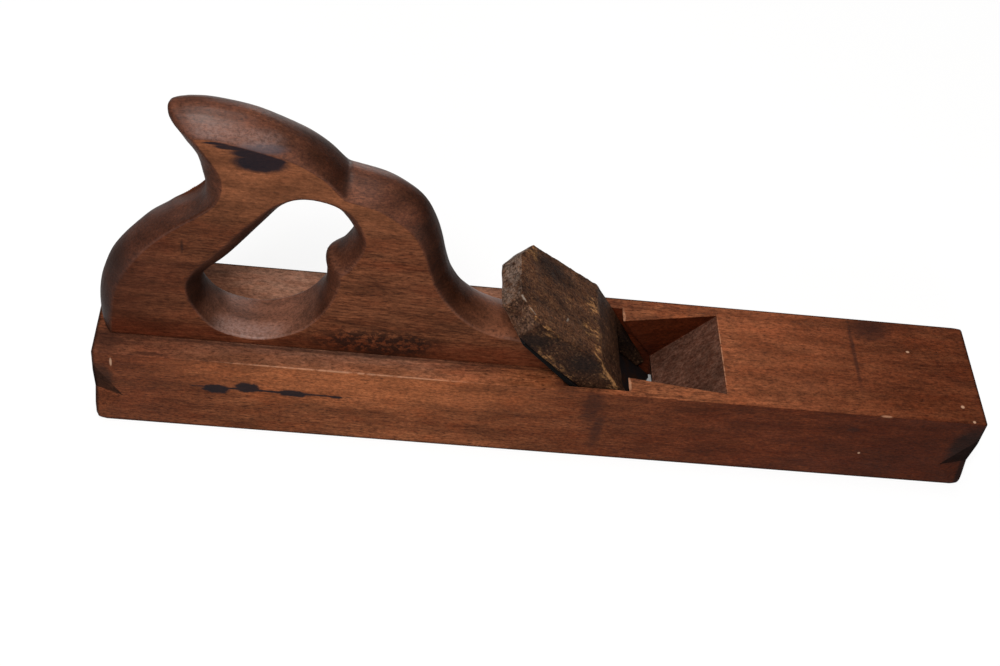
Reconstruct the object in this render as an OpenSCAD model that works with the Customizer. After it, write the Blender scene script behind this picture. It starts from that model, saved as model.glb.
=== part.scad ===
// Wooden moulding plane with a closed tote, a single iron and a wedge.
// X runs from the heel to the toe, Y across the stock, Z up.
// The origin is on the floor under the middle of the stock.

/* [Stock] */
// Length of the stock from heel to toe
stock_l = 406; // [390:1:450]
// Width of the stock
stock_w = 60; // [59:0.5:70]
// Height of the stock
stock_h = 45.6; // [42:0.2:52]
// How far the foot of the toe stands out ahead of its top
toe_lean = 2.4; // [0:0.1:4]
// Depth of the hollow worked along the sole
hollow_depth = 4; // [2:0.5:6]
// Half of the width of that hollow
hollow_half = 23; // [18:0.5:24]

/* [Notches at the ends] */
// Length of a corner notch along the side of the stock
notch_l = 13; // [6:0.5:18]
// Length of a corner notch across the heel
heel_notch_w = 4.5; // [3:0.5:7]
// Length of a corner notch across the toe
toe_notch_w = 3.5; // [2:0.5:7]
// Height of the valley of a notch at the heel above the floor
heel_notch_z = 17.5; // [14:0.5:22]
// Height of the valley of a notch at the toe above the floor
toe_notch_z = 14; // [12:0.5:22]
// Reach of a notch above its valley
notch_up = 21; // [14:0.5:22]
// Reach of a notch below its valley
notch_down = 15; // [8:0.5:16]

/* [Throat] */
// Slope of the bed from the horizontal, degrees
bed_angle = 44; // [43:0.5:46]
// Distance from the heel to the cutting edge
mouth_from_heel = 259.9; // [255:0.5:275]
// Wood left beside the slot on the near side
near_cheek = 2.9; // [2:0.1:4]
// Length of the throat along the top, ahead of the wedge
throat_l = 45.8; // [38:0.2:50]
// Width of the throat at its front end
throat_front_w = 48.2; // [40:0.2:52]
// Width of the throat at the wedge
throat_back_w = 34.6; // [28:0.2:40]
// Height where the front ramp ends, above the floor
ramp_foot_z = 15.5; // [12:0.5:18]
// Distance from the cutting edge back to the abutments, at the top of the stock
abut_back = 22.4; // [21:0.2:24]
// Distance from the cutting edge back to the foot of the ramp
foot_back = 2.9; // [2:0.1:4]
// Width of the mouth ahead of the cutting edge
mouth_gap = 0.9; // [0.5:0.1:2]

/* [Iron] */
// Width of the iron
iron_w = 50; // [44:0.5:51]
// Thickness of the iron
iron_t = 3.2; // [2:0.2:4]
// Length of the iron along the bed
iron_l = 107; // [80:1:115]
// Size of the corners clipped off the top of the iron
iron_clip = 5; // [2:0.5:8]
// Grinding angle of the iron, degrees
iron_grind = 30; // [25:1:35]

/* [Wedge] */
// Length of the wedge above the cutting edge, along the bed
wedge_top = 119; // [112:1:124]
// Thickness of the wedge at its top end
wedge_top_t = 12; // [10:0.5:14]
// Thickness of the wedge at the ridge across its face
wedge_ridge_t = 18.2; // [16:0.2:20]
// Distance from the cutting edge up to that ridge
wedge_ridge = 70; // [62:1:80]
// How far the face of the wedge ends above the top of the abutments
face_above = 2; // [0:0.2:3]
// Distance from the cutting edge to where the far side turns in
far_turn = 68; // [60:1:75]
// How far the far side turns in at its shoulder
far_taper = 3.6; // [2:0.2:7]
// How far the near side stands out at its shoulder
near_flare = 1; // [0:0.2:2]
// Length of the far chamfer at the top, along the wedge
far_chamfer_l = 8; // [5:0.5:12]
// Width of the far chamfer at the top, across the wedge
far_chamfer_w = 11.4; // [5:0.2:13]
// Length of the near chamfer at the top, along the wedge
near_chamfer_l = 11; // [6:0.5:14]
// Width of the near chamfer at the top, across the wedge
near_chamfer_w = 11; // [6:0.5:14]
// Distance from the cutting edge to the tips of the prongs
prong_tip = 12; // [10:0.5:20]
// Width of each prong at its tip
prong_w = 2.5; // [2:0.1:4]
// Length of the slope between the prongs
fork_l = 22; // [16:0.5:26]

/* [Tote] */
// Thickness of the tote
tote_t = 24; // [20:0.5:28]
// How far the tote sits from the middle of the stock
tote_y = -6.6; // [-8:0.2:0]
// Height of the tote above the stock
tote_h = 126.6; // [115:0.2:135]
// Length from the heel to the foot of the front arch
tote_l = 166; // [158:1:170]
// Depth of the tongue under the tote
tongue_h = 10; // [6:0.5:14]
// Distance from the heel to the tongue
tongue_back = 14; // [10:0.5:20]
// Wood left between the tongue and the bed
tongue_front = 12; // [8:0.5:20]
// Shoulder on each side of the tongue
tongue_shoulder = 2; // [1:0.5:4]

/* [Fits] */
// Free play on each side of the iron and the wedge
slide_gap = 0.3; // [0.2:0.05:0.5]
// Space left between the wedge and the abutments
wedge_play = 3.6; // [2.5:0.1:4]
// Free play round the tongue in its mortise
tongue_gap = 0.15; // [0.1:0.05:0.3]
// Space between the foot of the tote and the bed
foot_gap = 0.8; // [0.5:0.1:1.5]
// How far the iron can be drawn up the bed
draw = 30; // [20:1:35]

/* [Hidden] */
$fn = 64;
wood = [0.36, 0.17, 0.10];
dark_wood = [0.25, 0.15, 0.09];
steel = [0.20, 0.20, 0.21];

heel_x = -stock_l / 2;
toe_x = stock_l / 2;
mouth_x = heel_x + mouth_from_heel;
slot_w = iron_w + 2 * slide_gap;
throat_y = near_cheek + slot_w / 2 - stock_w / 2;
hollow_r = (hollow_half * hollow_half + hollow_depth * hollow_depth) / (2 * hollow_depth);

// A point on the bed: s up along it from the cutting edge, n square to it towards the toe.
function bed(s, n) = [
  mouth_x - s * cos(bed_angle) + n * sin(bed_angle),
  s * sin(bed_angle) + n * cos(bed_angle)
];
// The same two distances for a point of the long section.
function bed_s(p) = (mouth_x - p[0]) * cos(bed_angle) + p[1] * sin(bed_angle);
function bed_n(p) = (p[0] - mouth_x) * sin(bed_angle) + p[1] * cos(bed_angle);
// The point of a line square distance n from the iron's face, at height z.
function bed_at(z, n) = bed((z - n * cos(bed_angle)) / sin(bed_angle), n);

// The bed face lies behind the iron.
bed_n0 = -iron_t - slide_gap;
// The abutments run from the top of the stock to the foot of the ramp.
abut_top = [mouth_x - abut_back, stock_h];
abut_foot = [mouth_x - foot_back, ramp_foot_z];
abut_dir = (abut_foot - abut_top) / norm(abut_foot - abut_top);
function abut_at(z) = abut_top + abut_dir * (z - stock_h) / abut_dir[1];
ramp_top = [abut_top[0] + throat_l, stock_h];
lip = [mouth_x + mouth_gap, 0];
wall_dir = (lip - abut_foot) / norm(lip - abut_foot);

// Lays a long section (x, z) across the stock from y0 to y1.
module across(y0, y1) {
  translate([0, y1, 0])
    rotate([90, 0, 0])
      linear_extrude(y1 - y0)
        children();
}

// Puts a shape drawn on the bed in place: x up the bed, y to the near side, z off the bed.
module on_bed() {
  translate([mouth_x, throat_y, 0])
    rotate([0, 180 + bed_angle, 0])
      rotate([180, 0, 0])
        children();
}

// The bar of the long hollow, grown by a little for what must stay above it.
module hollow_bar(grow = 0) {
  translate([0, throat_y, hollow_depth - hollow_r])
    rotate([0, 90, 0])
      cylinder(r = hollow_r + grow, h = 2 * stock_l, center = true, $fn = 128);
}

// One notch, at the near corner of the toe. Its two flat sides meet in a level valley.
module notch(notch_w, notch_z) {
  width = norm([notch_l, notch_w]);
  depth = notch_l * notch_w / width;
  open = 2;
  translate([toe_x - notch_l / 2, -stock_w / 2 + notch_w / 2, notch_z])
    rotate([0, 0, atan2(notch_w, notch_l)])
      rotate([90, 0, 90])
        linear_extrude(3 * width, center = true)
          polygon([[0, 0], open * [-depth, notch_up], open * [-depth, -notch_down]]);
}

// The open throat ahead of the abutments, with cheeks that spread towards the toe and downwards.
module throat() {
  over = 2;
  back = [3, 0];
  meet = abut_foot + 0.6 * wall_dir;
  slope = (ramp_top - meet) / norm(ramp_top - meet);
  section = [
    abut_at(stock_h + over) - back,
    ramp_top + slope * over / slope[1],
    meet - 1.5 * slope,
    meet - 1.5 * slope - back
  ];
  // Each cheek is the plane through its two top corners and its foot.
  function cheek(p, y_back, y_front, y_foot) =
    let (
      a = (y_front - y_back) / throat_l,
      b = (y_foot - y_back - a * (abut_foot[0] - abut_top[0])) / (abut_foot[1] - stock_h)
    )
    y_back + a * (p[0] - abut_top[0]) + b * (p[1] - stock_h);
  foot_half = slot_w / 2 - 1;
  near = [for (p = section)
    [p[0], cheek(p, throat_y - throat_back_w / 2, -throat_front_w / 2, throat_y - foot_half), p[1]]];
  far = [for (p = section)
    [p[0], cheek(p, throat_y + throat_back_w / 2, throat_front_w / 2, throat_y + foot_half), p[1]]];
  polyhedron(
    points = concat(near, far),
    faces = [
      [0, 1, 2, 3], [7, 6, 5, 4],
      [0, 4, 5, 1], [1, 5, 6, 2], [2, 6, 7, 3], [3, 7, 4, 0]
    ]
  );
}

// The slot for the iron and the wedge, from the top down through the mouth.
module slot() {
  over = 4;
  across(throat_y - slot_w / 2, throat_y + slot_w / 2)
    polygon([
      bed_at(stock_h + over, bed_n0),
      bed_at(-over, bed_n0),
      lip + wall_dir * over,
      abut_foot,
      abut_at(stock_h + over)
    ]);
}

module tongue(play) {
  start = heel_x + tongue_back;
  end = bed_at(stock_h, bed_n0)[0] - tongue_front;
  w = tote_t - 2 * tongue_shoulder;
  translate([start - play, tote_y - w / 2 - play, stock_h - tongue_h - play])
    cube([end - start + 2 * play, w + 2 * play, tongue_h + play + 1]);
}

module stock() {
  color(wood)
    difference() {
      across(-stock_w / 2, stock_w / 2)
        polygon([[heel_x, 0], [toe_x + toe_lean, 0], [toe_x, stock_h], [heel_x, stock_h]]);
      hollow_bar();
      slot();
      throat();
      tongue(tongue_gap);
      for (end = [0, 1], side = [0, 1])
        mirror([end, 0, 0])
          mirror([0, side, 0])
            if (end == 0)
              notch(toe_notch_w, toe_notch_z);
            else
              notch(heel_notch_w, heel_notch_z);
    }
}

// Outlines of the tote, measured from the heel and up from the stock.
// Each edge bounds a flat side and each crest runs along the middle of the rounding.
back_edge = [
  [6.8, 0], [7.4, 8], [8.8, 22], [11, 31], [15.7, 41.7], [23.6, 54.6], [34, 66.5],
  [44.5, 76], [51, 82.5], [54.1, 89.5], [54.4, 96], [52.8, 100.8], [50.5, 104.8],
  [48.2, 108.4], [46.2, 111.6], [45.4, 113], [44.6, 114.4], [44, 115.3],
  [43.7, 115.8], [43.8, 116.2], [44, 116.4]
];
back_crest = [
  [2.6, 0], [1.5, 7], [1.7, 19], [3.7, 29.5], [8.3, 41.6], [17.6, 53.6], [29.8, 64.6],
  [41, 72.4], [46.4, 78.8], [46.9, 86.2], [45.6, 93], [44.6, 98], [43.2, 102.8],
  [41.2, 106.8], [38.6, 110.4], [37.2, 112.8], [35.2, 116], [33, 119.4],
  [32.4, 121.8], [32.4, 123.3], [33.2, 124.6]
];
front_edge = [
  [232, 0], [222, 12], [186, 17.5], [176, 18.7], [166, 22.6], [157.5, 29],
  [150.9, 36.5], [145.2, 45.5], [141.6, 55.4], [138.6, 64.6], [134.8, 72.9],
  [130.2, 78.7], [124, 83.6], [116, 88.5], [105, 91.2], [102.6, 93.4],
  [95, 102], [84, 109], [68, 113.6], [53, 116.8], [46.5, 117]
];
front_crest = [
  [235, 0], [224, 13], [187, 19.5], [177.5, 21.5], [168.5, 26], [161, 31.6],
  [156, 38.3], [151.6, 46.5], [148.5, 55.5], [145.9, 65.3], [142.7, 74.5],
  [137.5, 84.3], [130, 91], [120.6, 96], [107, 99.5], [103.6, 100],
  [96.4, 106.4], [85, 114.8], [67.5, 123.6], [49, 126.6], [38.4, 126]
];
rows = len(back_edge);
row_steps = 4;
round_steps = 6;

// A smooth curve through the points of an outline.
function hold(p, i) = p[min(max(i, 0), len(p) - 1)];
function curve(p, i, t) =
  let (a = hold(p, i - 1), b = hold(p, i), c = hold(p, i + 1), d = hold(p, i + 2))
  0.5 * (2 * b + (c - a) * t + (2 * a - 5 * b + 4 * c - d) * t * t
    + (3 * b - a - 3 * c + d) * t * t * t);
function outline(p) = concat(
  [for (i = [0 : rows - 2], k = [0 : row_steps - 1]) curve(p, i, k / row_steps)],
  [p[rows - 1]]
);
// The rounding: 0 on the flat sides, which it meets at an arris, and 1 along the crest.
function swell(u) = 1 - pow(abs(u), 2.2);

// The outlines as drawn: up to the foot of the front arch, and up to the top of the horn.
outline_l = front_edge[4][0];
outline_h = max([for (p = front_crest) p[1]]);
// Scales an outline point and sets it beside the middle of the tote.
function tote_point(p, u) = [
  heel_x + p[0] * tote_l / outline_l,
  tote_y + u * tote_t / 2,
  stock_h + p[1] * tote_h / outline_h
];
function blend(edge, crest, u) = tote_point(edge + (crest - edge) * swell(u), u);
round_u = [for (k = [-round_steps : round_steps]) sin(90 * k / round_steps)];
function tote_ring(be, bc, fe, fc) = concat(
  [for (u = round_u) blend(fe, fc, u)],
  [for (u = round_u) blend(be, bc, -u)]
);

module loft(rings) {
  m = len(rings[0]);
  n = len(rings);
  polyhedron(
    points = [for (r = rings, p = r) p],
    faces = concat(
      [for (k = [0 : m / 2 - 2]) [k, k + 1, m - 2 - k]],
      [for (k = [0 : m / 2 - 2]) [k, m - 2 - k, m - 1 - k]],
      [for (i = [0 : n - 2], k = [0 : m - 1])
        [i * m + k, (i + 1) * m + k, (i + 1) * m + (k + 1) % m]],
      [for (i = [0 : n - 2], k = [0 : m - 1])
        [i * m + k, (i + 1) * m + (k + 1) % m, i * m + (k + 1) % m]],
      [for (k = [0 : m / 2 - 2]) (n - 1) * m * [1, 1, 1] + [k, m - 2 - k, k + 1]],
      [for (k = [0 : m / 2 - 2]) (n - 1) * m * [1, 1, 1] + [k, m - 1 - k, m - 2 - k]]
    )
  );
}

module tote_body() {
  be = outline(back_edge);
  bc = outline(back_crest);
  fe = outline(front_edge);
  fc = outline(front_crest);
  loft([for (i = [0 : len(be) - 1]) tote_ring(be[i], bc[i], fe[i], fc[i])]);
}

// The hand hole: its edge on the flat sides, and how far the middle stands in from it.
hole_edge = [
  [73, 5], [89, 12.7], [99.5, 27.5], [104, 41], [104.7, 47.6], [108.2, 52.3], [112.7, 63],
  [113, 71.5], [108.3, 82.1], [100, 88.6], [87.7, 90.8], [77, 86.4], [66, 74.4],
  [51, 54], [42, 42], [39.5, 33], [42, 23], [50, 11], [60, 6]
];
hole_in = [
  [0, 0.6], [0, 0.8], [-2, 1.5], [-5.6, 1], [-7.2, 2.4], [-5.8, 1.2], [-5.2, -0.6],
  [-5.2, -1.4], [-4.8, -4.6], [-1.6, -5.4], [0.2, -5.6], [2.8, -5.6], [6, -5.2],
  [7, -5.6], [7.4, -3], [6.4, 0], [4.5, 1.5], [2, 1.5], [0.5, 1]
];
hole_steps = 4;
function wrap(p, i) = p[(i + len(p)) % len(p)];
function ring_curve(p, i, t) =
  let (a = wrap(p, i - 1), b = wrap(p, i), c = wrap(p, i + 1), d = wrap(p, i + 2))
  0.5 * (2 * b + (c - a) * t + (2 * a - 5 * b + 4 * c - d) * t * t
    + (3 * b - a - 3 * c + d) * t * t * t);
function ring_outline(p) =
  [for (i = [0 : len(p) - 1], k = [0 : hole_steps - 1]) ring_curve(p, i, k / hole_steps)];

module hand_hole() {
  edge = ring_outline(hole_edge);
  inset = ring_outline(hole_in);
  n = len(edge);
  sides = concat([1.3], [for (u = round_u) -u], [-1.3]);
  loft([for (u = sides)
    [for (i = [0 : n - 1]) tote_point(edge[i] + inset[i] * swell(min(max(u, -1), 1)), u)]]);
}

// What lies ahead of the bed, as far up as the iron can be drawn.
module ahead_of_bed() {
  reach = iron_l + draw + foot_gap;
  on_bed()
    translate([-stock_w, -stock_w, bed_n0 - foot_gap])
      cube([stock_w + reach, 2 * stock_w, stock_w]);
}

module tote() {
  color(wood) {
    difference() {
      tote_body();
      hand_hole();
      ahead_of_bed();
    }
    tongue(0);
  }
}

// Plan of the wedge: chamfered top, straight sides and two prongs.
module wedge_plan() {
  half = iron_w / 2;
  polygon([
    [prong_tip, -half],
    [far_turn, -half],
    [wedge_top - far_chamfer_l, -half + far_taper],
    [wedge_top, -half + far_taper + far_chamfer_w],
    [wedge_top, half + near_flare - near_chamfer_w],
    [wedge_top - near_chamfer_l, half + near_flare],
    [wedge_ridge, half],
    [prong_tip, half]
  ]);
}

module wedge() {
  face_end = bed_s(abut_top) + face_above;
  gap = slide_gap;
  taper = asin(abut_dir * [sin(bed_angle), cos(bed_angle)]);
  function front(s) = bed_n(abut_top) + (s - bed_s(abut_top)) * tan(-taper) - wedge_play / cos(taper);
  fork_w = throat_back_w + 2 * slide_gap;
  over = 2;
  color(dark_wood)
    on_bed()
      difference() {
        intersection() {
          linear_extrude(2 * wedge_ridge_t)
            wedge_plan();
          across(-stock_w, stock_w)
            polygon([
              [prong_tip, gap],
              [wedge_top, gap],
              [wedge_top, wedge_top_t],
              [wedge_ridge, wedge_ridge_t],
              [face_end, front(face_end)],
              [prong_tip, front(prong_tip)]
            ]);
        }
        intersection() {
          linear_extrude(2 * wedge_ridge_t)
            polygon([
              [prong_tip - over, -iron_w / 2 + prong_w],
              [face_end + over, -fork_w / 2],
              [face_end + over, fork_w / 2],
              [prong_tip - over, iron_w / 2 - prong_w]
            ]);
          across(-stock_w, stock_w)
            polygon([
              [face_end, front(face_end) + over],
              [face_end - fork_l, -over],
              [prong_tip - 2 * over, -over],
              [prong_tip - 2 * over, front(face_end) + over]
            ]);
        }
      }
}

module iron() {
  half = iron_w / 2;
  color(steel)
    difference() {
      on_bed()
        translate([0, 0, -iron_t])
          linear_extrude(iron_t)
            polygon([
              [-iron_t, -half],
              [iron_l - iron_clip, -half],
              [iron_l, -half + iron_clip],
              [iron_l, half - iron_clip],
              [iron_l - iron_clip, half],
              [-iron_t, half]
            ]);
      // The grinding leans back from the sole's own shape.
      translate([mouth_x, 0, 0])
        rotate([0, bed_angle - iron_grind, 0])
          translate([-mouth_x, 0, 0])
            hollow_bar(slide_gap);
      translate([mouth_x, 0, slide_gap])
        rotate([0, bed_angle - iron_grind, 0])
          translate([-stock_w / 2, -stock_w, -stock_w / 2])
            cube([stock_w, 2 * stock_w, stock_w / 2]);
    }
}

stock();
tote();
wedge();
iron();
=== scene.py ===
import math

import bmesh
import bpy
from mathutils import Matrix, Vector, noise


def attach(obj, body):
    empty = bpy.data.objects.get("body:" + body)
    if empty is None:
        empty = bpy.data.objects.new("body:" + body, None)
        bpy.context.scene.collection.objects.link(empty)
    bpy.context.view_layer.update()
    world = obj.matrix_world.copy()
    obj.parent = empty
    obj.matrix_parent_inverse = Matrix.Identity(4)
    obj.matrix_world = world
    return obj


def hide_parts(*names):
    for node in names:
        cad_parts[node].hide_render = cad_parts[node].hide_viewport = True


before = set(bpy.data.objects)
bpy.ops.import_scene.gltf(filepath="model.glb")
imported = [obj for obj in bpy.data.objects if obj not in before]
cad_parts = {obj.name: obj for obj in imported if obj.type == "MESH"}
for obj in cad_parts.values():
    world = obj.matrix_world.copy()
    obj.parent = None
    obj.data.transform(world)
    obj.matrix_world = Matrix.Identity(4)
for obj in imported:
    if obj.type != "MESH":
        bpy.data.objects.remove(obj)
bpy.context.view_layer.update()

# The photograph is 1000 pixels wide. The camera's angles, distance and focal length fit its straight edges.
PHOTO_WIDTH = 1000
FOCAL_PIXELS = 1554.0
SENSOR_WIDTH = 36.0
ELEVATION = math.radians(47.276)
YAW = math.radians(-9.071)
ROLL = math.radians(11.569)
DISTANCE = 0.7099
TARGET = Vector((-0.02408, 0.0, 0.0470))

# The scene is in metres. The sizes, the wear and the marks below are in millimetres.
PER_METRE = 1000.0

# Sizes of the part that the marks and the wear follow.
STOCK_HALF_W = 30.0
STOCK_H = 45.6
STOCK_HEEL_X = 203.0
STOCK_TOE_X = 205.4
TOE_LEAN = 2.4
TOTE_NEAR_Y = -18.6
IRON_LENGTH = 107.0
MOUTH_X = 56.9
BED_ANGLE = math.radians(44.0)

# What age has done to the shapes.
STOCK_ARRIS = 0.7
END_WEAR_SOLE = 2.8
END_WEAR_TOP = 1.5
END_WEAR_LENGTH = 5.0
TOTE_VOXEL = 0.75
TOTE_PASSES = 5
WEDGE_VOXEL = 0.45
WEDGE_PASSES = 14
WEDGE_DENT_DEPTH = 0.5
WEDGE_DENT_SIZE = 15.0
IRON_ARRIS = 0.25
IRON_THINNING = 1.8

# Faces that turn by less than the first angle are joined. Arrises that turn by more than the last are
# rounded, and those from the second angle to the last are shaded as sharp.
FLAT_ANGLE = math.radians(0.6)
SOFT_ANGLE = math.radians(6.0)
SHARP_ANGLE = math.radians(25.0)

# The floor and the light. The floor's half size and drop are in metres.
FLOOR_HALF = 3.0
FLOOR_DROP = 0.0002
FLOOR_GREY = (0.45, 0.45, 0.45, 1.0)
UNDER_MOUTH = (MOUTH_X, 8.0, 0.0)
AMBIENT = 0.08
WHITE = (1.0, 1.0, 1.0, 1.0)
WARM_LIGHT = (1.0, 0.98, 0.96)
COOL_LIGHT = (0.92, 0.96, 1.0)
PLAIN_LIGHT = (1.0, 1.0, 1.0)

WOOD_SPECULAR = 0.05
IRON_SPECULAR = 0.2

# Marks, each a centre and a reach.
STOCK_INK = [
    ((-149.0, -STOCK_HALF_W, 27.4), (5.6, 6.0, 3.0)),
    ((-135.5, -STOCK_HALF_W, 29.6), (5.6, 6.0, 3.2)),
    ((-115.0, -STOCK_HALF_W, 28.2), (7.0, 6.0, 2.2)),
    ((-96.0, -STOCK_HALF_W, 28.0), (3.0, 6.0, 0.9)),
    ((-126.0, -STOCK_HALF_W, 28.4), (36.0, 6.0, 0.7)),
]
STOCK_STAINS = [
    ((19.5, -STOCK_HALF_W, 36.0), (4.6, 6.0, 13.0)),
    ((24.0, -STOCK_HALF_W, 19.0), (2.8, 6.0, 13.0)),
    ((142.0, -STOCK_HALF_W, 34.4), (2.6, 3.0, 1.5)),
    ((-178.0, -28.4, STOCK_H), (6.5, 1.0, 2.0)),
    ((145.0, 8.0, STOCK_H), (1.0, 22.0, 2.0)),
    ((155.0, 24.0, STOCK_H), (9.0, 7.0, 2.0)),
    ((8.0, -26.0, STOCK_H), (7.0, 4.0, 2.0)),
    # Grime and painted shade in the crease along the tote's near foot.
    ((-90.0, -19.2, STOCK_H), (110.0, 0.9, 1.5)),
    ((-197.0, -22.0, STOCK_H), (6.0, 7.0, 2.0)),
]
# Painted shade at the notches of the two ends.
STOCK_ENDS = [
    ((199.5, -29.0, 28.0), (9.0, 9.0, 13.5)),
    ((-200.0, -29.0, 29.0), (6.0, 8.0, 9.0)),
]
STOCK_WORN = [
    ((-92.0, -STOCK_HALF_W, STOCK_H), (50.0, 0.6, 0.6)),
    ((154.5, -STOCK_HALF_W, STOCK_H), (2.6, 0.7, 0.7)),
    ((80.3, 0.0, STOCK_H), (0.25, 22.0, 0.35)),
    ((35.0, -23.2, STOCK_H), (0.8, 4.0, 1.6)),
    ((35.0, 19.3, STOCK_H), (0.8, 4.4, 1.6)),
]
STOCK_SPECKS = [
    ((172.0, 11.4, STOCK_H), (0.8, 0.6, 2.0)),
    ((192.5, -20.3, STOCK_H), (0.8, 0.8, 2.0)),
    ((196.3, -29.0, STOCK_H), (0.7, 0.7, 1.0)),
    ((149.7, -STOCK_HALF_W, 17.9), (0.6, 2.0, 0.6)),
    ((-194.6, -STOCK_HALF_W, 40.0), (0.5, 1.0, 2.4)),
]
TOTE_BURN = [
    ((-133.5, TOTE_NEAR_Y, 153.4), (10.5, 3.0, 4.6)),
    ((-129.0, TOTE_NEAR_Y, 155.4), (6.0, 3.0, 4.0)),
    ((-136.0, TOTE_NEAR_Y, 157.8), (9.0, 3.0, 2.4)),
    ((-144.0, TOTE_NEAR_Y, 160.2), (8.0, 3.0, 1.2)),
    ((-150.0, TOTE_NEAR_Y, 161.6), (6.0, 3.0, 0.7)),
]
# Smoke stains that are partly painted sheen.
TOTE_SMOKE_AND_SHEEN = [
    ((-134.0, -17.0, 160.2), (12.0, 2.4, 2.0)),
]
# Painted sheen on the horn and the bottom of the hand hole.
TOTE_SHEEN = [
    ((-150.0, -15.5, 165.0), (10.0, 4.0, 3.6)),
    ((-137.0, -15.5, 163.6), (13.0, 4.0, 3.0)),
    ((-137.5, -15.0, 53.0), (14.0, 5.0, 5.0)),
]
TOTE_SMUDGE = [
    ((-82.0, TOTE_NEAR_Y, 54.0), (26.0, 3.0, 8.0)),
    ((-66.0, TOTE_NEAR_Y, 54.5), (11.0, 3.0, 7.0)),
]
# Painted shade on the back and in the crease between the horn and the arch, and a crack.
TOTE_SHADE_AND_CRACK = [
    ((-200.0, -14.0, 62.0), (5.0, 9.0, 22.0)),
    ((-194.0, -12.0, 88.0), (6.0, 10.0, 15.0)),
    ((-164.5, TOTE_NEAR_Y, 103.5), (0.6, 1.0, 4.0)),
    ((-99.0, -9.0, 143.0), (1.6, 12.0, 6.0)),
]
WEDGE_CHIPS = [
    ((-14.0, 14.0, 87.0), (5.0, 5.0, 4.0)),
    ((17.0, 7.0, 63.4), (4.5, 5.0, 4.5)),
    ((18.6, -8.0, 62.2), (3.0, 6.5, 3.0)),
    ((18.0, -18.0, 62.6), (2.0, 4.0, 2.0)),
    ((19.4, -24.6, 61.4), (4.0, 2.4, 3.4)),
    ((23.0, -26.4, 56.0), (3.4, 1.6, 4.5)),
    ((27.4, -26.4, 50.0), (3.4, 1.6, 4.5)),
    ((4.0, -2.0, 73.6), (2.4, 2.4, 2.4)),
    ((13.4, -11.0, 66.2), (3.6, 4.4, 3.0)),
    ((-7.0, -27.4, 80.6), (5.0, 1.6, 4.0)),
    ((-25.0, -27.0, 83.0), (3.0, 4.0, 5.0)),
    ((-12.2, -27.4, 66.9), (3.4, 1.2, 3.4)),
    ((-6.4, -27.2, 61.3), (3.4, 1.2, 3.4)),
    ((-0.6, -27.0, 55.8), (3.4, 1.2, 3.4)),
    ((5.1, -26.9, 50.2), (3.4, 1.2, 3.4)),
    ((-19.0, -21.0, 90.6), (1.2, 2.4, 1.4)),
    ((-16.5, -24.0, 88.2), (1.2, 2.4, 1.4)),
    ((-13.8, -26.8, 86.0), (1.2, 2.4, 1.4)),
]
WEDGE_DIRT_AND_SHADE = [
    ((-12.0, -27.0, 73.5), (7.0, 4.0, 4.5)),
    ((12.0, -27.0, 61.0), (9.0, 4.0, 6.0)),
    # Painted shade on the lower end, deep in the throat.
    ((43.0, 0.0, 28.0), (15.0, 32.0, 17.0)),
    ((-5.0, 12.0, 80.0), (12.0, 8.0, 10.0)),
]
# Lines, each a start, an end and a half width.
WEDGE_ARRISES = [
    ((15.7, -22.1, 64.3), (20.5, -26.6, 59.5), 0.6),
    ((20.5, -26.6, 59.5), (27.5, -26.6, 48.4), 1.0),
    ((-14.0, -27.5, 68.5), (8.0, -26.8, 47.5), 0.6),
]
WEDGE_SCRATCHES = [
    ((-20.6, -16.8, 90.5), (-18.2, -19.8, 89.3), 0.45),
    ((-18.2, -19.8, 89.3), (-14.2, -23.6, 86.7), 0.35),
    ((-20.0, -18.0, 89.8), (-24.5, -22.5, 86.0), 0.35),
    ((1.9, -14.6, 74.9), (2.6, -12.6, 74.2), 0.6),
]
# Hollows that hands have rubbed, each a centre, a reach and a depth.
TOTE_RUBBED = [
    ((-163.0, 5.0, 119.0), 13.0, 1.8),
    ((-172.0, 5.0, 111.0), 14.0, 1.4),
]


def rgb(red, green, blue):
    """A colour as a screen shows it, 0 to 255, made linear."""
    return tuple((part / 255.0) ** 2.2 for part in (red, green, blue)) + (1.0,)


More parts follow.
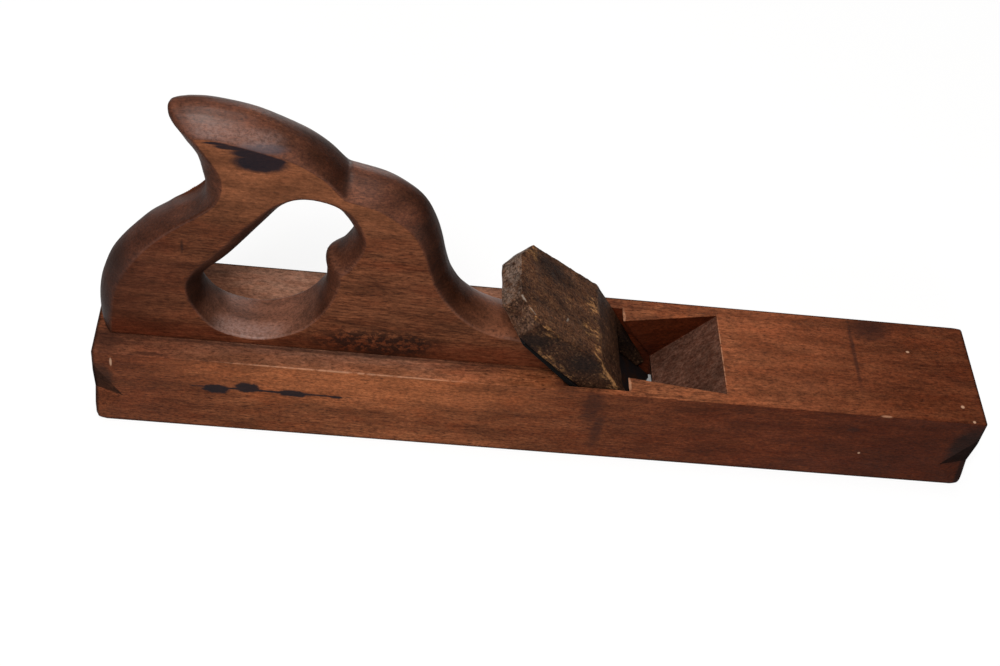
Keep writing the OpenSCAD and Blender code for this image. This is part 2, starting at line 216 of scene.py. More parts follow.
class Look:
    """A procedural material. Each call adds nodes and gives back a socket. Places are in millimetres."""

    def __init__(self, name, specular):
        self.material = bpy.data.materials.new(name)
        self.material.use_nodes = True
        self.tree = self.material.node_tree
        self.shader = self.tree.nodes["Principled BSDF"]
        self.shader.inputs["Specular IOR Level"].default_value = specular
        place = self.add("ShaderNodeTexCoord").outputs["Object"]
        self.place = self.vector("MULTIPLY", place, (PER_METRE, PER_METRE, PER_METRE))
        self.grain = self.place
        surface = self.add("ShaderNodeNewGeometry").outputs
        self.facing = self.add("ShaderNodeSeparateXYZ", surface["Normal"]).outputs
        self.flat = self.add("ShaderNodeSeparateXYZ", surface["True Normal"]).outputs
        self.x, self.y, self.z = self.add("ShaderNodeSeparateXYZ", self.place).outputs

    def add(self, kind, *inputs, **settings):
        """Adds a node and feeds its inputs in their order."""
        node = self.tree.nodes.new(kind)
        for key, value in settings.items():
            setattr(node, key, value)
        for socket, value in zip(node.inputs, inputs):
            self.feed(socket, value)
        return node

    def feed(self, socket, value):
        """Links a socket to another one, or sets its value."""
        if isinstance(value, bpy.types.NodeSocket):
            self.tree.links.new(value, socket)
        else:
            socket.default_value = value

    def math(self, operation, *inputs):
        return self.add("ShaderNodeMath", *inputs, operation=operation).outputs[0]

    def vector(self, operation, *inputs):
        return self.add("ShaderNodeVectorMath", *inputs, operation=operation).outputs[0]

    def measure(self, operation, *inputs):
        return self.add("ShaderNodeVectorMath", *inputs, operation=operation).outputs["Value"]

    def size(self, value):
        return self.math("ABSOLUTE", value)

    def share(self, mask, amount):
        return self.math("MULTIPLY", mask, amount)

    def all_of(self, mask, *others):
        """Where every mask holds."""
        for other in others:
            mask = self.math("MULTIPLY", mask, other)
        return mask

    def any_of(self, mask, *others):
        """Where one mask or more holds."""
        for other in others:
            mask = self.math("MAXIMUM", mask, other)
        return mask

    def noise(self, stretch, detail, rough, seed):
        """Noise along the grain. A smaller stretch makes it longer that way."""
        place = self.vector("MULTIPLY", self.grain, stretch)
        node = self.add("ShaderNodeTexNoise", place, seed, 1.0, detail, rough, noise_dimensions="4D")
        return node.outputs[0]

    def step(self, value, low, high, start=0.0, end=1.0):
        """Goes smoothly from start to end while a value goes from low to high."""
        node = self.add("ShaderNodeMapRange", value, low, high, start, end, interpolation_type="SMOOTHSTEP")
        return node.outputs[0]

    def mix(self, share, first, second, blend="MIX"):
        """A share of the second colour over the first."""
        node = self.add("ShaderNodeMix", share, data_type="RGBA", blend_type=blend)
        self.feed(node.inputs[6], first)
        self.feed(node.inputs[7], second)
        return node.outputs[2]

    def spot(self, centre, reach, soft, ragged=0.0, seed=0.0):
        """A mask that is 1 inside an ellipsoid, with an uneven edge if asked."""
        off = self.vector("DIVIDE", self.vector("SUBTRACT", self.place, centre), reach)
        length = self.measure("LENGTH", off)
        if ragged:
            waver = self.noise((0.35, 0.35, 0.35), 3.0, 0.6, seed)
            length = self.math("ADD", length, self.math("MULTIPLY_ADD", waver, ragged, -0.5 * ragged))
        return self.step(length, 1.0 + soft, 1.0 - soft)

    def spots(self, places, soft, ragged=0.0):
        marks = enumerate(places)
        return self.any_of(*[self.spot(*mark, soft, ragged, float(seed)) for seed, mark in marks])

    def streak(self, place, start, end, half):
        """A mask of one thin line between two places."""
        run = Vector(end) - Vector(start)
        off = self.vector("SUBTRACT", place, start)
        along = self.measure("DOT_PRODUCT", off, run / run.length_squared)
        along = self.add("ShaderNodeClamp", along, 0.0, 1.0).outputs[0]
        nearest = self.add("ShaderNodeCombineXYZ", along, along, along).outputs[0]
        gap = self.vector("SUBTRACT", off, self.vector("MULTIPLY", nearest, run))
        return self.step(self.measure("LENGTH", gap), 1.3 * half, 0.5 * half)

    def streaks(self, lines, wander):
        """A mask of thin lines that waver a little."""
        shake = self.add("ShaderNodeTexNoise", self.place, 0.0, 0.4, 2.0, 0.5, noise_dimensions="4D")
        shake = self.vector("SUBTRACT", shake.outputs[1], (0.5, 0.5, 0.5))
        shake = self.vector("MULTIPLY", shake, (wander, wander, wander))
        place = self.vector("ADD", self.place, shake)
        return self.any_of(*[self.streak(place, *line) for line in lines])

    def bump(self, height, depth_mm, strength):
        node = self.add("ShaderNodeBump")
        node.inputs["Strength"].default_value = strength
        node.inputs["Distance"].default_value = depth_mm / PER_METRE
        self.feed(node.inputs["Height"], height)
        self.feed(self.shader.inputs["Normal"], node.outputs[0])

    def finish(self, colour, roughness):
        self.feed(self.shader.inputs["Base Color"], colour)
        self.feed(self.shader.inputs["Roughness"], roughness)
        return self.material


def uneven(look, colour, slow, fine, along, seed):
    """Varies a colour from place to place, with slow patches and fine streaks, and about keeps its mean."""
    patches = look.step(look.noise((0.035, 0.13, 0.13), 3.0, 0.6, seed), 0.3, 0.7, 1.0 - slow, 1.0 + slow)
    streaks = look.noise((along, 1.0, 1.0), 4.0, 0.75, seed + 1.0)
    streaks = look.step(streaks, 0.3, 0.7, 1.0 - fine, 1.0 + fine)
    return look.mix(1.0, colour, look.all_of(patches, streaks), "MULTIPLY")


def wood(look, dark, light, red, pore):
    """Red-brown wood with its grain along the piece. Gives its colour, its surface's height and its pores."""
    bands = look.noise((0.01, 0.16, 0.16), 3.0, 0.55, 1.0)
    lines = look.noise((0.06, 0.8, 0.8), 3.0, 0.6, 2.0)
    fibres = look.noise((0.16, 2.0, 2.0), 3.0, 0.65, 10.0)
    pores = look.step(look.noise((0.32, 1.6, 1.6), 2.0, 0.5, 3.0), 0.55, 0.66)
    blotches = look.noise((0.045, 0.1, 0.1), 3.0, 0.6, 4.0)
    tone = look.math("ADD", look.share(lines, 0.28), look.share(fibres, 0.5))
    tone = look.math("ADD", look.share(bands, 0.22), tone)
    colour = look.mix(look.step(tone, 0.36, 0.64), dark, light)
    colour = look.mix(look.step(blotches, 0.45, 0.7, 0.0, 0.5), colour, red)
    colour = look.mix(look.share(pores, 0.6), colour, pore)
    height = look.math("SUBTRACT", look.share(fibres, 0.7), look.share(pores, 0.5))
    return colour, height, pores


def stock_tones(look, colour, up, patches):
    """Painted light and dust lighten the top. The toe and the heel are darker and redder."""
    x, y = look.x, look.y
    # Painted light with some dust lightens and greys the top behind the wedge.
    behind = look.step(look.math("ADD", x, look.step(y, -10.0, -18.0, 0.0, 45.0)), 40.0, -60.0)
    behind = look.all_of(up, behind, look.step(x, -200.0, -110.0, 0.25, 1.0))
    dust = look.math("ADD", look.step(patches, 0.25, 0.75, 0.2, 0.6), look.step(y, 0.0, 10.0, 0.0, 0.3))
    colour = look.mix(look.all_of(dust, behind), colour, rgb(140, 106, 89))
    # Painted light lightens the top ahead of the wedge.
    lit_top_ahead = look.all_of(up, look.step(x, 50.0, 90.0), look.step(x, 190.0, 120.0))
    colour = look.mix(look.share(lit_top_ahead, 0.3), colour, rgb(164, 98, 66))
    # The toe and the heel are darker and redder, partly the wood's tone and partly painted falloff of light.
    side = look.step(up, 1.0, 0.0, 0.6, 1.0)
    toe_top = look.all_of(up, look.step(x, 20.0, 160.0, 0.0, 0.5))
    toe_side = look.all_of(look.step(up, 1.0, 0.0), look.step(x, -80.0, 100.0, 0.0, 0.8))
    colour = look.mix(look.any_of(toe_top, toe_side), colour, rgb(66, 27, 14))
    heel = look.all_of(side, look.step(x, -130.0, -185.0, 0.0, 0.6))
    colour = look.mix(heel, colour, rgb(78, 42, 30))
    mottle = look.step(look.noise((0.12, 0.4, 0.4), 4.0, 0.65, 14.0), 0.4, 0.65, 0.0, 0.3)
    colour = look.mix(mottle, colour, rgb(112, 60, 38))
    ledge = look.all_of(up, look.step(y, -16.0, -20.0), look.step(x, -50.0, -130.0, 0.0, 0.4))
    colour = look.mix(ledge, colour, rgb(74, 46, 37))
    glow = look.all_of(side, look.spot((-84.0, -STOCK_HALF_W, 38.0), (62.0, 6.0, 12.0), 0.8, 0.6))
    colour = look.mix(look.share(glow, 0.45), colour, rgb(176, 104, 66))
    grime = look.step(patches, 0.52, 0.74, 0.0, 0.55)
    colour = look.mix(grime, colour, rgb(70, 42, 31))
    # The toe's side is darker still, partly the wood's tone and partly painted falloff of light.
    toe = look.all_of(side, look.step(x, 95.0, 190.0, 0.0, 0.62))
    return look.mix(toe, colour, rgb(56, 25, 14))


def stock_throat(look, colour):
    """In the throat the ramp is grey, the cheeks are a deep red and the bottom has painted shade."""
    inside = look.all_of(look.step(look.z, STOCK_H, STOCK_H - 0.6), look.step(look.size(look.x), 92.0, 88.0))
    ramp = look.all_of(inside, look.step(look.facing[0], -0.3, -0.5))
    scuffs = look.step(look.noise((0.3, 0.6, 0.3), 4.0, 0.7, 12.0), 0.35, 0.65)
    scuffed = look.mix(scuffs, rgb(62, 41, 34), rgb(92, 68, 58))
    colour = look.mix(look.share(ramp, 0.8), colour, scuffed)
    # Painted light lightens the ramp's foot.
    foot = look.all_of(ramp, look.step(look.z, 16.0, 4.0, 0.0, 0.6))
    colour = look.mix(foot, colour, rgb(128, 90, 74))
    # The cheeks' deep red is partly their own colour and partly painted shade.
    cheek = look.all_of(inside, look.step(look.size(look.y), 29.0, 28.0))
    cheek = look.all_of(cheek, look.step(look.size(look.facing[1]), 0.6, 0.8))
    colour = look.mix(look.share(cheek, 0.75), colour, rgb(64, 26, 14))
    # Painted shade darkens the bottom of the throat, except on the ramp.
    throat_shade = look.spot((47.0, 2.0, 12.0), (13.0, 25.0, 12.0), 0.25)
    throat_shade = look.all_of(throat_shade, look.step(look.facing[0], -0.5, -0.3))
    return look.mix(look.share(throat_shade, 0.7), colour, rgb(26, 17, 15))


def stock_ends(look, colour, notch):
    """Painted shade darkens the notches' down-facing facets at the ends, unevenly, and two spots there."""
    patchy = look.step(look.noise((0.2, 0.2, 0.2), 3.0, 0.6, 13.0), 0.3, 0.6, 0.6, 0.95)
    notch_shade = look.mix(look.step(look.x, -10.0, 10.0), rgb(56, 37, 29), rgb(30, 20, 17))
    colour = look.mix(look.all_of(notch, patchy), colour, notch_shade)
    return look.mix(look.share(look.spots(STOCK_ENDS, 0.3, 0.3), 0.85), colour, notch_shade)


def stock_rim(look, colour, up):
    """Dark bands lie along the lower arrises, the far top arris and the ends."""
    rim = look.any_of(look.step(look.z, 1.8, 0.2), look.all_of(up, look.step(look.y, 28.7, 29.8)))
    end = look.step(look.size(look.x), 200.8, 202.6)
    end = look.all_of(end, look.step(look.size(look.facing[0]), 0.97, 0.85, 0.35, 1.0))
    return look.mix(look.share(look.any_of(rim, end), 0.8), colour, rgb(20, 12, 9))


def stock_marks(look, colour):
    """Arrises are worn pale in places. Ink, stains and specks lie on the top and the near side."""
    wear = look.step(look.noise((0.3, 0.3, 0.3), 3.0, 0.6, 8.0), 0.35, 0.55)
    worn = look.all_of(look.spots(STOCK_WORN, 0.35), wear)
    colour = look.mix(look.share(worn, 0.45), colour, rgb(190, 142, 112))
    ink = look.spots(STOCK_INK, 0.2, 0.9)
    colour = look.mix(look.share(ink, 0.95), colour, rgb(30, 28, 32))
    stain = look.spots(STOCK_STAINS, 0.6, 0.7)
    colour = look.mix(look.share(stain, 0.6), colour, rgb(46, 30, 26))
    specks = look.spots(STOCK_SPECKS, 0.4, 0.4)
    return look.mix(look.share(specks, 0.7), colour, rgb(196, 156, 128))


def stock_look():
    look = Look("stock_wood", WOOD_SPECULAR)
    colour, height, pores = wood(look, rgb(76, 40, 26), rgb(140, 86, 57), rgb(118, 58, 32), rgb(52, 27, 18))
    patches = look.noise((0.02, 0.06, 0.06), 3.0, 0.6, 5.0)
    up = look.step(look.facing[2], 0.5, 0.9)
    notch = look.all_of(look.step(look.size(look.x), 186.0, 190.0), look.step(look.flat[2], -0.03, -0.07))
    notch = look.all_of(notch, look.step(look.flat[2], -0.6, -0.5))
    colour = stock_tones(look, colour, up, patches)
    colour = stock_throat(look, colour)
    colour = stock_ends(look, colour, notch)
    colour = uneven(look, colour, 0.28, 0.42, 0.5, 16.0)
    colour = stock_rim(look, colour, up)
    colour = look.mix(look.share(pores, 0.35), colour, rgb(40, 20, 13))
    colour = stock_marks(look, colour)
    look.bump(height, 0.2, 0.5)
    return look.finish(colour, look.any_of(look.step(patches, 0.2, 0.8, 0.48, 0.66), notch))


def tote_tones(look, colour, flat, rounding, grain):
    """Roundings are darkened by hands, and by painted shade where they face the ends. Pores show as fine
    specks.
    """
    back = look.step(look.x, -130.0, -195.0, 0.0, 0.65)
    colour = look.mix(back, colour, rgb(66, 36, 26))
    neck = look.all_of(flat, look.step(look.z, 105.0, 140.0, 0.0, 0.4))
    colour = look.mix(neck, colour, rgb(142, 90, 62))
    colour = look.mix(look.share(rounding, 0.5), colour, rgb(82, 52, 42))
    foot = look.all_of(rounding, look.step(look.x, -70.0, -40.0, 0.0, 0.35))
    colour = look.mix(foot, colour, rgb(126, 78, 55))
    # Painted shade on roundings that face the toe.
    toe_facing_shade = look.all_of(look.step(look.facing[0], 0.2, 0.7, 0.0, 0.85), look.step(look.x, -20.0, -50.0))
    colour = look.mix(look.all_of(rounding, toe_facing_shade), colour, rgb(36, 20, 14))
    # Painted shade on roundings that face the heel.
    heel_facing_shade = look.step(look.facing[0], -0.3, -0.85, 0.0, 0.6)
    colour = look.mix(look.all_of(rounding, heel_facing_shade), colour, rgb(52, 30, 22))
    # Painted light at the bottom of the hand hole.
    inside = look.all_of(rounding, look.spot((-130.0, -8.0, 57.0), (32.0, 14.0, 14.0), 0.4))
    colour = look.mix(look.share(inside, 0.4), colour, rgb(136, 92, 74))
    specks = look.all_of(rounding, look.step(grain, 0.5, 0.68, 0.0, 0.5))
    colour = look.mix(specks, colour, rgb(42, 26, 21))
    base = look.all_of(flat, look.step(look.z, 60.0, 53.0, 0.0, 0.5))
    return look.mix(base, colour, rgb(78, 34, 21))


def tote_marks(look, colour, flat, rounding, grain):
    """A burn, its smoke partly painted sheen, painted sheen between the pores, a smudge, painted shade and a
    crack.
    """
    burn = look.all_of(flat, look.spots(TOTE_BURN, 0.25, 0.35))
    colour = look.mix(look.share(burn, 0.93), colour, rgb(27, 28, 35))
    smoke = look.all_of(rounding, look.spots(TOTE_SMOKE_AND_SHEEN, 0.5, 0.4))
    colour = look.mix(look.share(smoke, 0.6), colour, rgb(72, 68, 74))
    # Painted sheen, pale between the pores.
    painted_sheen = look.all_of(rounding, look.spots(TOTE_SHEEN, 0.7, 0.4), look.step(grain, 0.35, 0.6, 0.75, 0.3))
    painted_sheen = look.all_of(painted_sheen, look.step(look.z, 60.0, 140.0, 0.65, 0.32))
    colour = look.mix(painted_sheen, colour, rgb(170, 142, 134))
    broken = look.step(look.noise((0.33, 0.5, 0.4), 3.0, 0.7, 9.0), 0.42, 0.56)
    smudge = look.all_of(look.spots(TOTE_SMUDGE, 0.5, 0.6), broken)
    colour = look.mix(look.share(smudge, 0.85), colour, rgb(34, 24, 21))
    # Painted shade on the back and in the crease, and a dark crack.
    dark = look.spots(TOTE_SHADE_AND_CRACK, 0.6, 0.5)
    return look.mix(look.share(dark, 0.65), colour, rgb(40, 29, 26))


def tote_look():
    look = Look("tote_wood", WOOD_SPECULAR)
    colour, height, _ = wood(look, rgb(66, 36, 24), rgb(120, 74, 51), rgb(96, 50, 32), rgb(44, 24, 17))
    patches = look.noise((0.03, 0.06, 0.06), 3.0, 0.6, 5.0)
    grain = look.noise((0.7, 0.9, 0.9), 3.0, 0.7, 6.0)
    flat = look.step(look.size(look.facing[1]), 0.94, 0.985)
    rounding = look.math("SUBTRACT", 1.0, flat)
    colour = tote_tones(look, colour, flat, rounding, grain)
    colour = uneven(look, colour, 0.3, 0.32, 0.5, 18.0)
    colour = tote_marks(look, colour, flat, rounding, grain)
    # Hands have polished the roundings that face up.
    polish = look.all_of(rounding, look.step(look.facing[2], 0.1, 0.5))
    polish = look.all_of(polish, look.step(look.size(look.facing[0]), 0.75, 0.35))
    coat = look.all_of(polish, look.step(patches, 0.2, 0.7, 0.25, 0.5))
    look.feed(look.shader.inputs["Coat Weight"], coat)
    look.shader.inputs["Coat Roughness"].default_value = 0.4
    pitted = look.all_of(rounding, look.share(grain, -0.8))
    look.bump(look.math("ADD", height, pitted), 0.2, 0.5)
    return look.finish(colour, look.step(patches, 0.2, 0.8, 0.46, 0.62))


def wedge_tones(look, colour):
    """Blows have greyed the top end. The near side is dirty, and painted shade darkens the face below the
    ridge.
    """
    end = look.step(look.facing[0], -0.2, -0.6, 0.0, 0.65)
    end = look.all_of(end, look.step(look.facing[1], -0.7, -0.2, 0.35, 1.0))
    bruise = look.step(look.noise((0.25, 0.25, 0.25), 4.0, 0.65, 11.0), 0.36, 0.6)
    colour = look.mix(look.all_of(end, bruise), colour, rgb(116, 100, 90))
    side = look.step(look.facing[1], -0.55, -0.8, 0.0, 0.65)
    colour = look.mix(side, colour, rgb(38, 26, 21))
    # Painted shade on the face below the ridge.
    below = look.all_of(look.step(look.x, 19.5, 21.0, 0.0, 0.6), look.step(look.facing[0], 0.6, 0.75))
    return look.mix(below, colour, rgb(46, 31, 24))


def wedge_marks(look, colour):
    """Pale chips, dust, pits, dark grime, and painted shade on the lower end deep in the throat."""
    broken = look.step(look.noise((0.2, 0.6, 0.6), 4.0, 0.65, 7.0), 0.47, 0.6)
    chips = look.all_of(look.spots(WEDGE_CHIPS, 0.5, 0.8), broken)
    colour = look.mix(look.share(chips, 0.75), colour, rgb(156, 112, 72))
    dust = look.step(look.noise((0.5, 0.8, 0.8), 4.0, 0.7, 15.0), 0.54, 0.66, 0.0, 0.55)
    colour = look.mix(dust, colour, rgb(120, 90, 66))
    pits = look.step(look.noise((0.4, 0.6, 0.6), 4.0, 0.7, 20.0), 0.52, 0.64, 0.0, 0.7)
    colour = look.mix(pits, colour, rgb(34, 23, 18))
    dark = look.spots(WEDGE_DIRT_AND_SHADE, 0.6, 0.8)
    return look.mix(look.share(dark, 0.7), colour, rgb(26, 21, 20))


def wedge_wear(look, colour):
    """Arrises that are worn pale, and a few scratches."""
    broken = look.step(look.noise((0.5, 0.5, 0.5), 3.0, 0.6, 23.0), 0.36, 0.52, 0.15, 0.85)
    arris = look.all_of(look.streaks(WEDGE_ARRISES, 1.2), broken)
    colour = look.mix(arris, colour, rgb(150, 108, 70))
    scratch = look.all_of(look.streaks(WEDGE_SCRATCHES, 0.8), broken)
    return look.mix(look.share(scratch, 0.7), colour, rgb(146, 136, 124))


def wedge_look():
    look = Look("wedge_wood", WOOD_SPECULAR)
    turn = look.add("ShaderNodeMapping", look.place)
    turn.inputs["Rotation"].default_value = (0.0, -BED_ANGLE, 0.0)
    look.grain = turn.outputs[0]
    colour, height, _ = wood(look, rgb(66, 43, 31), rgb(92, 63, 45), rgb(80, 51, 35), rgb(42, 28, 22))
    patches = look.noise((0.06, 0.09, 0.09), 4.0, 0.6, 5.0)
    colour = look.mix(look.step(patches, 0.48, 0.68, 0.0, 0.8), colour, rgb(42, 31, 27))
    colour = wedge_tones(look, colour)
    colour = wedge_marks(look, colour)
    colour = uneven(look, colour, 0.25, 0.8, 1.0, 21.0)
    colour = wedge_wear(look, colour)
    look.bump(height, 0.3, 0.7)
    return look.finish(colour, look.step(patches, 0.2, 0.8, 0.5, 0.72))


def iron_look():
    look = Look("iron_steel", IRON_SPECULAR)
    look.shader.inputs["Metallic"].default_value = 0.35
    rust = look.noise((0.12, 0.12, 0.12), 5.0, 0.65, 4.0)
    scratches = look.noise((0.05, 1.5, 1.5), 3.0, 0.6, 6.0)
    colour = look.mix(look.step(rust, 0.45, 0.65), rgb(34, 30, 31), rgb(48, 32, 25))
    # The edges are black.
    edge = look.step(look.size(look.facing[1]), 0.5, 0.8)
    colour = look.mix(edge, colour, rgb(6, 5, 5))
    look.bump(look.math("ADD", rust, look.share(scratches, 0.3)), 0.15, 0.6)
    return look.finish(colour, look.any_of(look.step(scratches, 0.3, 0.7, 0.42, 0.62), edge))


def floor_look():
    """White where it is seen, with a faint shadow near the plane. The light that it throws back is greyer."""
    look = Look("floor", 0.0)
    look.shader.inputs["Base Color"].default_value = FLOOR_GREY
    look.shader.inputs["Roughness"].default_value = 0.9
    path = look.add("ShaderNodeLightPath").outputs
    shown = look.any_of(path["Is Camera Ray"], path["Is Glossy Ray"], path["Is Transmission Ray"])
    # Under the mouth it lies in the plane's shade. Away from the plane it fades to plain white.
    under = look.measure("DISTANCE", look.place, UNDER_MOUTH)
    shade = look.add("ShaderNodeMapRange", under, 20.0, 21.0, 0.2, 1.0).outputs[0]
    away = look.measure("LENGTH", look.place)
    fade = look.add("ShaderNodeMapRange", away, 350.0, 900.0, 0.8, 1.0).outputs[0]
    shadow = look.add("ShaderNodeBsdfDiffuse", WHITE).outputs[0]
    glow = look.add("ShaderNodeEmission", WHITE, shade).outputs[0]
    white = look.add("ShaderNodeMixShader", fade, shadow, glow).outputs[0]
    either = look.add("ShaderNodeMixShader", shown, look.shader.outputs[0], white).outputs[0]
    look.feed(look.tree.nodes["Material Output"].inputs["Surface"], either)
    return look.material


def stand_in(node, body):
    """A copy of a solid that is shown in its place, with its corners joined up."""
    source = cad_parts[node]
    mesh = bpy.data.meshes.new(node + "_worn")
    form = bmesh.new()
    form.from_mesh(source.data)
    bmesh.ops.remove_doubles(form, verts=form.verts, dist=1e-5)
    form.to_mesh(mesh)
    form.free()
    piece = bpy.data.objects.new(node + "_worn", mesh)
    bpy.context.scene.collection.objects.link(piece)
    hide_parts(node)
    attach(piece, body)
    return piece


def soften(piece, voxel_mm, passes):
    """Remeshes a piece finely and rounds its arrises a little."""
    remesh = piece.modifiers.new("remesh", "REMESH")
    remesh.mode = "VOXEL"
    remesh.voxel_size = voxel_mm / PER_METRE
    remesh.use_smooth_shade = True
    smooth = piece.modifiers.new("smooth", "SMOOTH")
    smooth.factor = 0.5
    smooth.iterations = passes
    view = bpy.context.evaluated_depsgraph_get()
    mesh = bpy.data.meshes.new_from_object(piece.evaluated_get(view))
    piece.modifiers.clear()
    piece.data = mesh


def move_in(mesh, depths_mm):
    """Moves each vertex inward by its own depth."""
    places = []
    for vertex, depth in zip(mesh.vertices, depths_mm):
        places.append(vertex.co - vertex.normal * depth / PER_METRE)
    for vertex, place in zip(mesh.vertices, places):
        vertex.co = place


def dent(piece, depth_mm, size_mm):
    """Presses shallow, uneven dents into a piece."""
    depths = []
    for vertex in piece.data.vertices:
        place = vertex.co * (PER_METRE / size_mm)
        push = noise.fractal(place, 0.8, 2.0, 3, noise_basis="PERLIN_ORIGINAL")
        depths.append(depth_mm * max(0.0, 0.35 + push))
    move_in(piece.data, depths)


def rub(piece, places):
    """Rubs hollows into a piece."""
    depths = []
    for vertex in piece.data.vertices:
        total = 0.0
        for centre, reach, depth in places:
            near = (vertex.co * PER_METRE - Vector(centre)).length / reach
            total += depth * max(0.0, 1.0 - near * near) ** 2
        depths.append(total)
    move_in(piece.data, depths)


def taper(piece, length_mm, loss_mm):
    """Thins a piece on the bed towards its top, on the side that lies on the bed."""
    up = Vector((-math.cos(BED_ANGLE), 0.0, math.sin(BED_ANGLE)))
    off = Vector((math.sin(BED_ANGLE), 0.0, math.cos(BED_ANGLE)))
    foot = Vector((MOUTH_X, 0.0, 0.0)) / PER_METRE
    depths = [(vertex.co - foot).dot(off) for vertex in piece.data.vertices]
    middle = 0.5 * (min(depths) + max(depths))
    for vertex, depth in zip(piece.data.vertices, depths):
        if depth < middle:
            share = (vertex.co - foot).dot(up) * PER_METRE / length_mm
            vertex.co = vertex.co + off * share * loss_mm / PER_METRE


def bevel(piece, width_mm):
    """Rounds the sharp arrises of a flat-sided piece."""
    form = bmesh.new()
    form.from_mesh(piece.data)
    bmesh.ops.dissolve_limit(form, angle_limit=FLAT_ANGLE, verts=form.verts, edges=form.edges)
    turns = [(edge, edge.calc_face_angle()) for edge in form.edges if edge.is_manifold]
    sharp = [edge for edge, turn in turns if turn > SHARP_ANGLE]
    for edge, turn in turns:
        edge.smooth = not SOFT_ANGLE < turn <= SHARP_ANGLE
    bmesh.ops.bevel(form, geom=sharp, offset=width_mm / PER_METRE, segments=3, profile=0.5,
                    affect="EDGES", clamp_overlap=True)
    for face in form.faces:
        face.smooth = True
    form.to_mesh(piece.data)
    form.free()
    piece.modifiers.new("normals", "WEIGHTED_NORMAL").keep_sharp = True


def end_cuts(out, reach, across):
    """Planes that cut an end finely enough to round it, each with a place, a normal and its innermost x."""
    steps = [END_WEAR_SOLE * (k / 8.0) ** 1.5 for k in range(1, 9)]
    everywhere = -reach - 1.0
    nearby = reach - END_WEAR_LENGTH - 3.0
    cuts = []
    for depth in [END_WEAR_LENGTH, 0.6 * END_WEAR_LENGTH] + steps:
        cuts.append((Vector((out * (reach - depth), 0.0, 0.0)), across, everywhere))
    for turn in (1.0, -1.0):
        for depth in steps:
            cuts.append((Vector((0.0, turn * (STOCK_HALF_W - depth), 0.0)), Vector((0.0, turn, 0.0)), nearby))
    for depth in steps:
        for height in (depth, STOCK_H - depth):
            cuts.append((Vector((0.0, 0.0, height)), Vector((0.0, 0.0, 1.0)), nearby))
    return cuts


def cut(form, place, normal, out, innermost):
    """Cuts the faces that lie wholly beyond an x, towards one end."""
    near = []
    for face in form.faces:
        if all(out * vertex.co.x * PER_METRE > innermost for vertex in face.verts):
            near.append(face)
    edges = {edge for face in near for edge in face.edges}
    corners = {vertex for face in near for vertex in face.verts}
    geometry = near + list(edges) + list(corners)
    bmesh.ops.bisect_plane(form, geom=geometry, dist=1e-7, plane_co=place / PER_METRE, plane_no=normal)


def round_end(form, out, reach, lean):
    """Moves the vertices near an end onto a box with round edges."""
    for vertex in form.verts:
        x, y, z = vertex.co * PER_METRE
        inside = reach - out * x - lean * z / STOCK_H
        if inside >= END_WEAR_LENGTH or out * x < 0.0:
            continue
        radius = END_WEAR_SOLE + (END_WEAR_TOP - END_WEAR_SOLE) * z / STOCK_H
        radius *= 1.0 - inside / END_WEAR_LENGTH
        depths = (inside, STOCK_HALF_W - abs(y), min(z, STOCK_H - z))
        over = Vector([max(0.0, radius - depth) for depth in depths])
        if over.length > radius:
            move = over * (1.0 - radius / over.length)
            x -= out * move.x
            y -= math.copysign(move.y, y)
            z += move.z if z < 0.5 * STOCK_H else -move.z
            vertex.co = Vector((x, y, z)) / PER_METRE


def wear_ends(piece):
    """Wears the corners of the stock's two ends round, less at the top and with the distance from the end."""
    form = bmesh.new()
    form.from_mesh(piece.data)
    for out, reach, lean in ((1.0, STOCK_TOE_X, TOE_LEAN), (-1.0, STOCK_HEEL_X, 0.0)):
        across = Vector((out, 0.0, lean / STOCK_H))
        for place, normal, innermost in end_cuts(out, reach, across):
            cut(form, place, normal, out, innermost)
        round_end(form, out, reach, lean)
    form.to_mesh(piece.data)
    form.free()


def add_stock():
    stock = stand_in("stock", "plane")
    bevel(stock, STOCK_ARRIS)
    wear_ends(stock)
    stock.data.materials.append(stock_look())


def add_tote():
    tote = stand_in("tote", "plane")
    soften(tote, TOTE_VOXEL, TOTE_PASSES)
    rub(tote, TOTE_RUBBED)
    tote.data.materials.append(tote_look())


def add_wedge():
    wedge = stand_in("wedge", "wedge")
    soften(wedge, WEDGE_VOXEL, WEDGE_PASSES)
    dent(wedge, WEDGE_DENT_DEPTH, WEDGE_DENT_SIZE)
    wedge.data.materials.append(wedge_look())


def add_iron():
    iron = stand_in("iron", "iron")
    taper(iron, IRON_LENGTH, IRON_THINNING)
    bevel(iron, IRON_ARRIS)
    iron.data.materials.append(iron_look())


def add_floor():
    corners = [(-1.0, -1.0), (1.0, -1.0), (1.0, 1.0), (-1.0, 1.0)]
    places = [(x * FLOOR_HALF, y * FLOOR_HALF, -FLOOR_DROP) for x, y in corners]
    mesh = bpy.data.meshes.new("floor")
    mesh.from_pydata(places, [], [(0, 1, 2, 3)])
    mesh.materials.append(floor_look())
    floor = bpy.data.objects.new("floor", mesh)
    bpy.context.scene.collection.objects.link(floor)


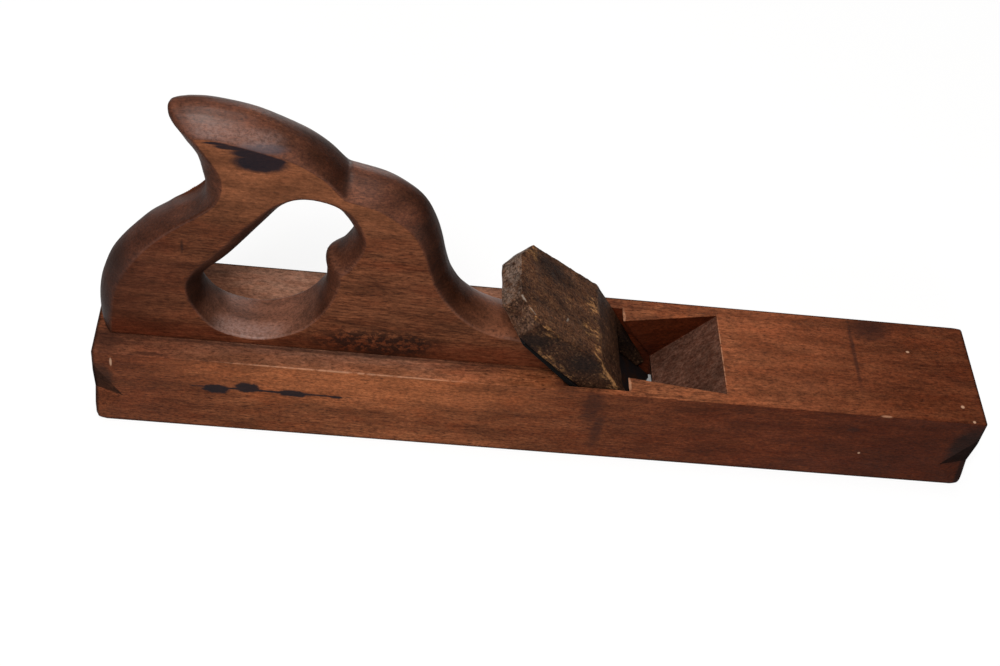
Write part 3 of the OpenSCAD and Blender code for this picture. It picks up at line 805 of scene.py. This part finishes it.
def add_world():
    world = bpy.data.worlds.new("studio")
    bpy.context.scene.world = world
    world.use_nodes = True
    nodes, links = world.node_tree.nodes, world.node_tree.links
    soft = nodes["Background"]
    soft.inputs["Color"].default_value = WHITE
    soft.inputs["Strength"].default_value = AMBIENT
    white = nodes.new("ShaderNodeBackground")
    white.inputs["Color"].default_value = WHITE
    path = nodes.new("ShaderNodeLightPath").outputs
    both = nodes.new("ShaderNodeMixShader")
    links.new(path["Is Camera Ray"], both.inputs[0])
    links.new(soft.outputs[0], both.inputs[1])
    links.new(white.outputs[0], both.inputs[2])
    links.new(both.outputs[0], nodes["World Output"].inputs["Surface"])


def add_lamp(name, place, target, size, power, colour):
    data = bpy.data.lights.new(name, "AREA")
    data.shape = "DISK"
    data.size = size
    data.energy = power
    data.color = colour
    lamp = bpy.data.objects.new(name, data)
    lamp.location = place
    lamp.rotation_euler = (Vector(target) - Vector(place)).to_track_quat("-Z", "Y").to_euler()
    bpy.context.scene.collection.objects.link(lamp)


def add_camera():
    level_share = math.cos(ELEVATION)
    back = Vector((math.sin(YAW) * level_share, -math.cos(YAW) * level_share, math.sin(ELEVATION)))
    level = Vector((math.cos(YAW), math.sin(YAW), 0.0))
    up = back.cross(level)
    right = math.cos(ROLL) * level + math.sin(ROLL) * up
    top = math.cos(ROLL) * up - math.sin(ROLL) * level
    data = bpy.data.cameras.new("camera")
    data.sensor_fit = "HORIZONTAL"
    data.sensor_width = SENSOR_WIDTH
    data.lens = FOCAL_PIXELS * SENSOR_WIDTH / PHOTO_WIDTH
    data.clip_start = 0.01
    data.clip_end = 20.0
    camera = bpy.data.objects.new("camera", data)
    bpy.context.scene.collection.objects.link(camera)
    turn = Matrix((right, top, back)).transposed().to_4x4()
    camera.matrix_world = Matrix.Translation(TARGET + back * DISTANCE) @ turn
    bpy.context.scene.camera = camera


add_stock()
add_tote()
add_wedge()
add_iron()
add_floor()
add_world()
add_lamp("key", (-0.38, -1.05, 1.75), (-0.02, 0.0, 0.05), 0.8, 34.0, WARM_LIGHT)
add_lamp("overhead", (-0.1, 0.1, 2.0), (0.0, 0.0, 0.0), 1.0, 13.0, WARM_LIGHT)
add_lamp("window", (-0.35, -1.75, 0.85), (-0.02, 0.0, 0.05), 0.5, 8.0, COOL_LIGHT)
add_lamp("back", (0.3, 1.8, 0.6), (0.0, 0.0, 0.05), 0.8, 7.0, PLAIN_LIGHT)
add_camera()
bpy.context.scene.view_settings.view_transform = "Standard"
